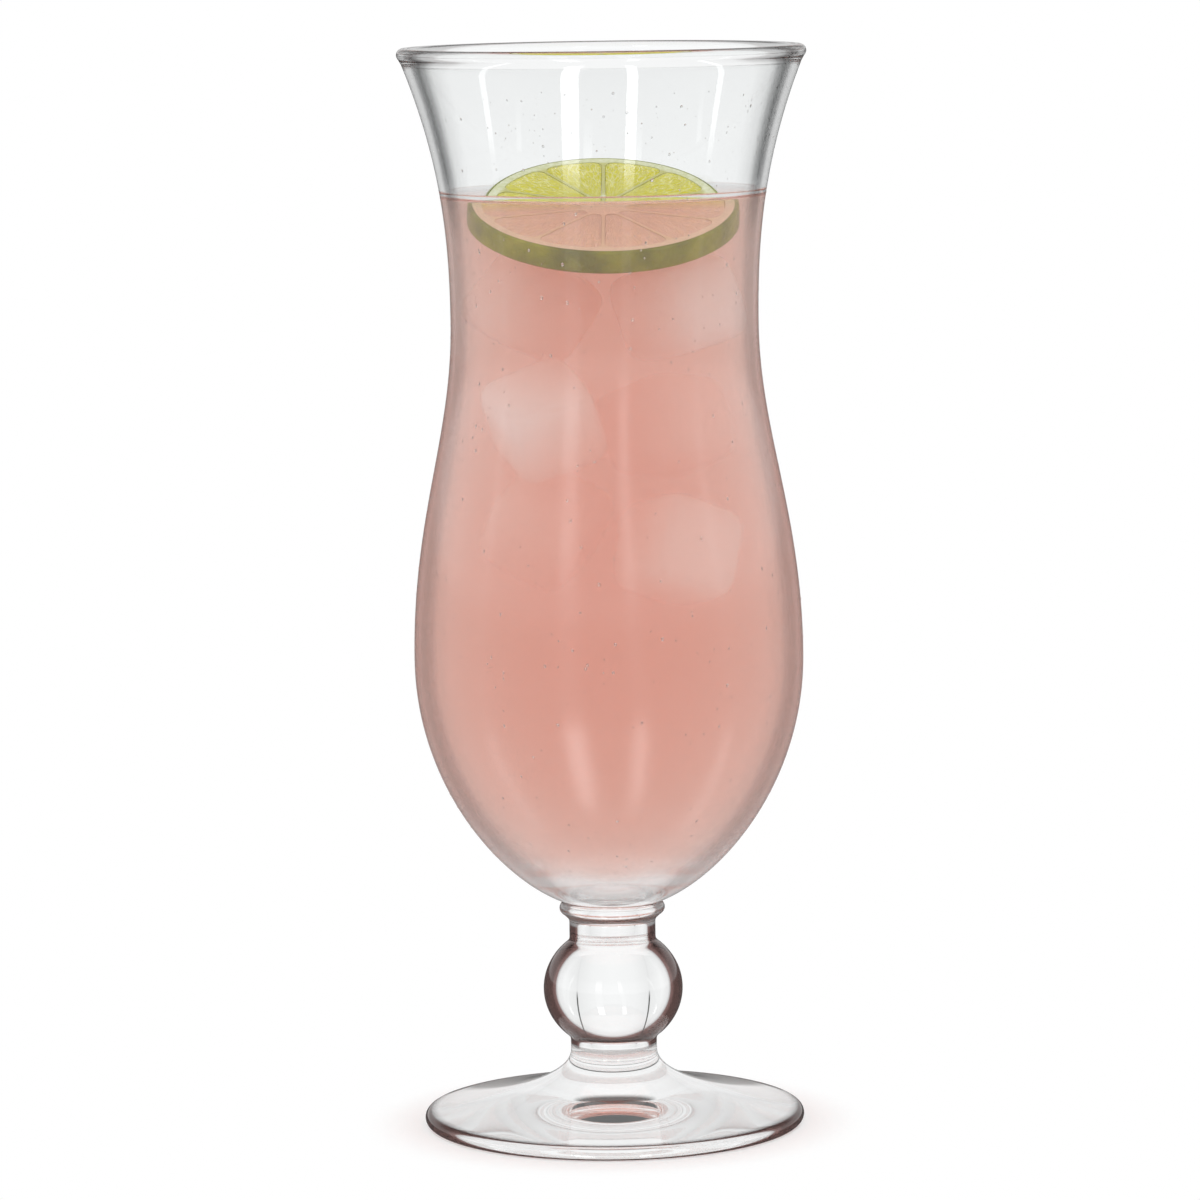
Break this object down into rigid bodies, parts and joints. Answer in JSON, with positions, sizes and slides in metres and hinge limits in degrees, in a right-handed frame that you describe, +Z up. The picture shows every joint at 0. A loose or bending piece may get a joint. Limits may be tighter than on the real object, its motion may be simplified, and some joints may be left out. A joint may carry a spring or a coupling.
{
  "type": "hurricane glass",
  "caption": "Tulip-shaped hurricane glass on a ball stem and round foot, holding an iced pink drink with a floating lime wheel.",
  "frame": {"origin": "centre of the foot's underside, on the surface that the glass stands on", "axes": "+Z up along the glass's axis; -Y towards the viewer of the picture, which sees the lime wheel's back edge raised; +X to that viewer's right"},
  "size_m": [0.0772, 0.0772, 0.2061],
  "materials": {
    "clear_glass": "fire-polished, clear",
    "pink_drink": "slightly cloudy liquid",
    "ice": "wet ice, partly melted",
    "lime_zest": "waxy, finely pored",
    "lime_pith": "spongy",
    "lime_flesh": "wet, translucent"
  },
  "bodies": {
    "glass": {"foot": "clear_glass", "ball_stem": "clear_glass", "collar": "clear_glass", "bowl": "clear_glass", "drink": "pink_drink"},
    "ice_cube_1": {"ice_cube_1": "ice"},
    "ice_cube_2": {"ice_cube_2": "ice"},
    "ice_cube_3": {"ice_cube_3": "ice"},
    "ice_cube_4": {"ice_cube_4": "ice"},
    "ice_cube_5": {"ice_cube_5": "ice"},
    "ice_cube_6": {"ice_cube_6": "ice"},
    "lime_wheel": {"lime_zest": "lime_zest", "lime_pith": "lime_pith", "lime_segment_1": "lime_flesh", "lime_segment_2": "lime_flesh", "lime_segment_3": "lime_flesh", "lime_segment_4": "lime_flesh", "lime_segment_5": "lime_flesh", "lime_segment_6": "lime_flesh", "lime_segment_7": "lime_flesh", "lime_segment_8": "lime_flesh", "lime_segment_9": "lime_flesh", "lime_segment_10": "lime_flesh"}
  },
  "joints": [
    {"name": "ice_cube_1_lift", "type": "slide", "parent": "glass", "child": "ice_cube_1", "axis": [0, 0, 1], "range_m": [0, 0.112], "deforming": ["drink"]},
    {"name": "ice_cube_2_lift", "type": "slide", "parent": "glass", "child": "ice_cube_2", "axis": [0, 0, 1], "range_m": [0, 0.112], "deforming": ["drink"]},
    {"name": "ice_cube_3_lift", "type": "slide", "parent": "glass", "child": "ice_cube_3", "axis": [0, 0, 1], "range_m": [0, 0.112], "deforming": ["drink"]},
    {"name": "ice_cube_4_lift", "type": "slide", "parent": "glass", "child": "ice_cube_4", "axis": [0, 0, 1], "range_m": [0, 0.112], "deforming": ["drink"]},
    {"name": "ice_cube_5_lift", "type": "slide", "parent": "glass", "child": "ice_cube_5", "axis": [0, 0, 1], "range_m": [0, 0.112], "deforming": ["drink"]},
    {"name": "ice_cube_6_lift", "type": "slide", "parent": "glass", "child": "ice_cube_6", "axis": [0, 0, 1], "range_m": [0, 0.112], "deforming": ["drink"]},
    {"name": "lime_lift", "type": "slide", "parent": "ice_cube_1", "child": "lime_wheel", "axis": [0, 0, 1], "range_m": [0, 0.06], "deforming": ["drink"]}
  ],
  "couplings": [
    {"joint": "ice_cube_2_lift", "follows": "ice_cube_1_lift", "ratio": 1},
    {"joint": "ice_cube_3_lift", "follows": "ice_cube_1_lift", "ratio": 1},
    {"joint": "ice_cube_4_lift", "follows": "ice_cube_1_lift", "ratio": 1},
    {"joint": "ice_cube_5_lift", "follows": "ice_cube_1_lift", "ratio": 1},
    {"joint": "ice_cube_6_lift", "follows": "ice_cube_1_lift", "ratio": 1}
  ]
}
